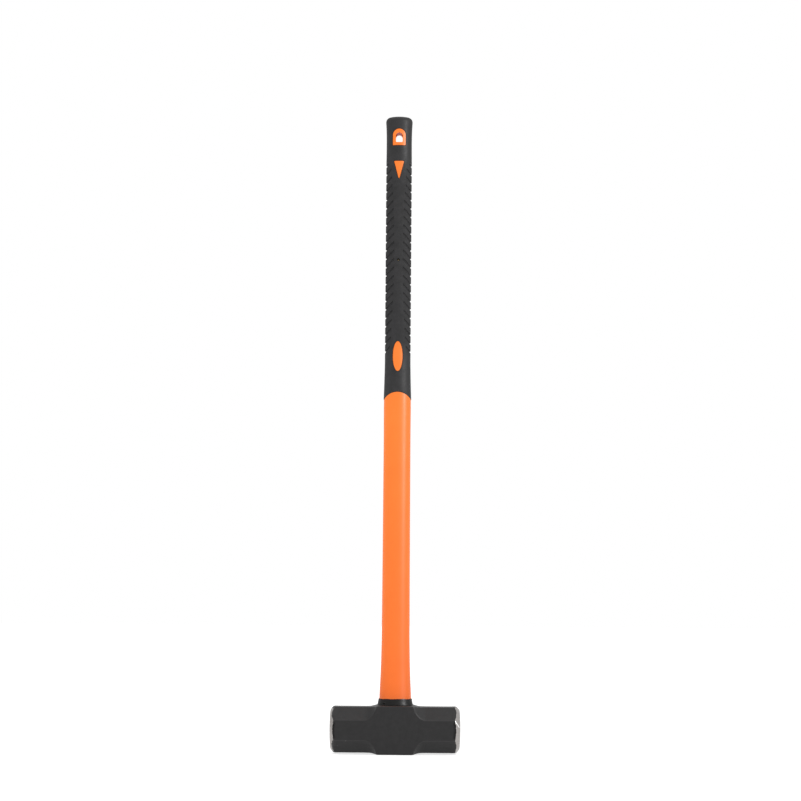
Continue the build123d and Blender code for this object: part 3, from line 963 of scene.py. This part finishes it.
def painted_head():
    paint = Paint("painted_head", Specular_IOR_Level=0.3)
    ragged = paint.noise(0.0035, detail=5, roughness=0.65)
    broken = paint.spread(ragged, 0.3, 0.7, 0.45, 1.0)
    # Painted shade: the paint at the ends of the side facets is darker and less glossy, a dark
    # reflection painted in.
    shaded = paint.math("MULTIPLY", paint.attribute("shaded"), broken)
    paint.set("Specular IOR Level", paint.spread(shaded, 0.0, 1.0, 0.3, 0.05))
    jitter = paint.spread(ragged, 0.25, 0.75, -0.85, 0.85)
    ground = paint.math("ADD", paint.attribute("bare"), jitter)
    bare = paint.spread(ground, -0.12, 0.12)
    chip = paint.spread(paint.noise(0.0045, detail=6, roughness=0.75), 0.66, 0.74)
    on_edge = paint.spread(paint.attribute("edge"), 0.0, 0.8, 1.0, 0.0)
    worn = paint.math("MULTIPLY", on_edge, chip)
    speck = paint.spread(paint.cells(0.0065), 0.045, 0.075, 1.0, 0.0)
    rare = paint.spread(paint.noise(0.012, detail=2), 0.60, 0.64)
    speck = paint.math("MULTIPLY", speck, rare)
    dark, light = (0.0065, 0.0062, 0.0065), (0.0115, 0.011, 0.0115)
    black = paint.ramp(paint.noise(0.006, detail=6), (0.3, dark), (0.75, light))
    # Paler paint along the long edges: partly rubbed paint, partly a painted highlight along them.
    rub_and_highlight = paint.spread(paint.attribute("edge"), 0.0, 1.1, 1.0, 0.0)
    pale = paint.ramp(rub_and_highlight, (0.0, (0.016, 0.0155, 0.016)), (1.0, (0.046, 0.044, 0.045)))
    black = paint.colour_mix(paint.math("MULTIPLY", rub_and_highlight, 0.5), black, pale)
    # The painted dark reflection's near-black colour.
    deep = paint.ramp(ragged, (0.3, (0.001, 0.001, 0.001)), (0.7, (0.002, 0.002, 0.002)))
    black = paint.colour_mix(shaded, black, deep)
    dust = paint.ramp(ragged, (0.3, (0.14, 0.14, 0.14)), (0.7, (0.3, 0.3, 0.3)))
    black = paint.colour_mix(speck, black, dust)
    grind = paint.noise(0.0022, detail=6, roughness=0.7, stretch=(0.12, 1, 1))
    steel = paint.ramp(grind, (0.25, (0.17, 0.155, 0.148)), (0.75, (0.44, 0.42, 0.405)))
    # Painted glint: near-white steel along the cut in the right bevel, standing in for a highlight.
    glint_steel = paint.ramp(grind, (0.2, (0.86, 0.85, 0.84)), (0.8, (0.96, 0.95, 0.94)))
    steel = paint.colour_mix(paint.attribute("glint_nick"), steel, glint_steel)
    shown = paint.math("MAXIMUM", bare, worn)
    paint.set("Base Color", paint.colour_mix(shown, black, steel))
    paint.set("Metallic", shown)
    rough_paint = paint.spread(paint.noise(0.002, detail=4), 0.3, 0.7, 0.42, 0.56)
    rough_steel = paint.spread(grind, 0.2, 0.8, 0.26, 0.44)
    paint.set("Roughness", paint.number_mix(shown, rough_paint, rough_steel))
    flatter = paint.spread(shown, 0.0, 1.0, 1.0, 0.25)
    skin = paint.math("MULTIPLY", paint.noise(0.0011, detail=4), flatter)
    paint.bump((skin, 0.00022, 0.4), (bare, 0.00012, 0.5), (grind, 0.00004, 0.35))
    return paint


def collar_rubber():
    paint = Paint("black_collar_rubber")
    paint.gloss(0.18)
    cloud = paint.noise(0.006, detail=4)
    dark, light = (0.006, 0.006, 0.0058), (0.0105, 0.0103, 0.0100)
    paint.set("Base Color", paint.ramp(cloud, (0.3, dark), (0.7, light)))
    paint.set("Roughness", paint.spread(paint.noise(0.0025, detail=4), 0.3, 0.7, 0.30, 0.42))
    grain = paint.noise(0.0008, detail=2)
    paint.bump((paint.noise(0.004, detail=3), 0.0004, 0.3), (grain, 0.00003, 0.3))
    return paint


def pultruded_core():
    paint = Paint("pultruded_fibreglass", Specular_IOR_Level=0.35)
    strand = paint.noise(0.0007, detail=4, roughness=0.6, stretch=(1, 1, 60))
    dark, light = (0.33, 0.24, 0.12), (0.56, 0.45, 0.27)
    paint.set("Base Color", paint.ramp(strand, (0.3, dark), (0.7, light)))
    paint.set("Roughness", paint.spread(strand, 0.3, 0.7, 0.38, 0.6))
    paint.bump((strand, 0.00015, 0.5))
    return paint


def cast_resin():
    paint = Paint("cast_epoxy", Specular_IOR_Level=0.5)
    cloud = paint.noise(0.005, detail=4)
    dark, light = (0.07, 0.035, 0.012), (0.14, 0.075, 0.028)
    paint.set("Base Color", paint.ramp(cloud, (0.3, dark), (0.7, light)))
    paint.set("Roughness", paint.spread(cloud, 0.3, 0.7, 0.12, 0.26))
    bubbles = paint.spread(paint.cells(0.003), 0.0, 0.22)
    paint.bump((bubbles, 0.0003, 0.4), (paint.noise(0.007, detail=2), 0.0005, 0.3))
    return paint


def dam_rubber():
    paint = Paint("dam_rubber", Specular_IOR_Level=0.2)
    cloud = paint.noise(0.003, detail=4)
    dark, light = (0.014, 0.014, 0.015), (0.024, 0.024, 0.025)
    paint.set("Base Color", paint.ramp(cloud, (0.3, dark), (0.7, light)))
    paint.set("Roughness", paint.spread(cloud, 0.3, 0.7, 0.7, 0.85))
    paint.bump((paint.noise(0.0006, detail=3), 0.0001, 0.5))
    return paint


orange_plastic().coat(jacket)
grip_rubber().coat(grip)
painted_head().coat(head)
collar_rubber().coat(collar)
pultruded_core().coat(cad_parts["fibreglass_core"])
cast_resin().coat(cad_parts["eye_resin"])
dam_rubber().coat(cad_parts["resin_dam"])

# ---------------------------------------------------------------- floor and light
FLOOR_SIZE = 16.0
FLOOR_GLOW = 0.7
WORLD_STRENGTH = 1.0

edge = FLOOR_SIZE / 2
floor_mesh = bpy.data.meshes.new("floor")
corners = [(-edge, -edge, 0), (edge, -edge, 0), (edge, edge, 0), (-edge, edge, 0)]
floor_mesh.from_pydata(corners, [], [(0, 1, 2, 3)])
floor = bpy.data.objects.new("floor", floor_mesh)
bpy.context.scene.collection.objects.link(floor)
floor_paint = Paint("pale_floor", Specular_IOR_Level=0.0, Roughness=0.9)
floor_tone = floor_paint.noise(0.6, detail=3)
floor_ramp = floor_paint.ramp(floor_tone, (0.3, (0.50, 0.50, 0.50)), (0.7, (0.52, 0.52, 0.52)))
floor_paint.set("Base Color", floor_ramp)
floor_paint.shader.inputs["Emission Color"].default_value = (1, 1, 1, 1)
floor_paint.shader.inputs["Emission Strength"].default_value = FLOOR_GLOW
floor_paint.coat(floor)

world = bpy.data.worlds.new("studio")
bpy.context.scene.world = world
world.use_nodes = True
sky = world.node_tree.nodes["Background"]
sky.inputs["Color"].default_value = (1, 1, 1, 1)
sky.inputs["Strength"].default_value = WORLD_STRENGTH
bpy.context.scene.view_settings.view_transform = "Standard"


def softbox(name, place, target, width, height, power):
    """A rectangular area light turned to face a point."""
    data = bpy.data.lights.new(name, "AREA")
    data.shape = "RECTANGLE"
    data.size, data.size_y, data.energy = width, height, power
    light = bpy.data.objects.new(name, data)
    bpy.context.scene.collection.objects.link(light)
    light.location = place
    light.rotation_euler = (Vector(target) - Vector(place)).to_track_quat("-Z", "Y").to_euler()
    return light


GRIP_TARGET = (0, 0, 0.9)
HEAD_TARGET = (0, 0, 0.2)

softbox("key", (1.60, -1.25, 1.17), GRIP_TARGET, width=0.2, height=1.3, power=4)
# The gleam adds gloss but no diffuse light, for the highlight down the right of the handle.
gleam = softbox("gleam", (1.62, -1.27, 1.23), GRIP_TARGET, width=0.2, height=1.3, power=60)
gleam.visible_diffuse = False
softbox("top", (0.0, 0.3, 2.6), HEAD_TARGET, width=2.2, height=2.2, power=12)
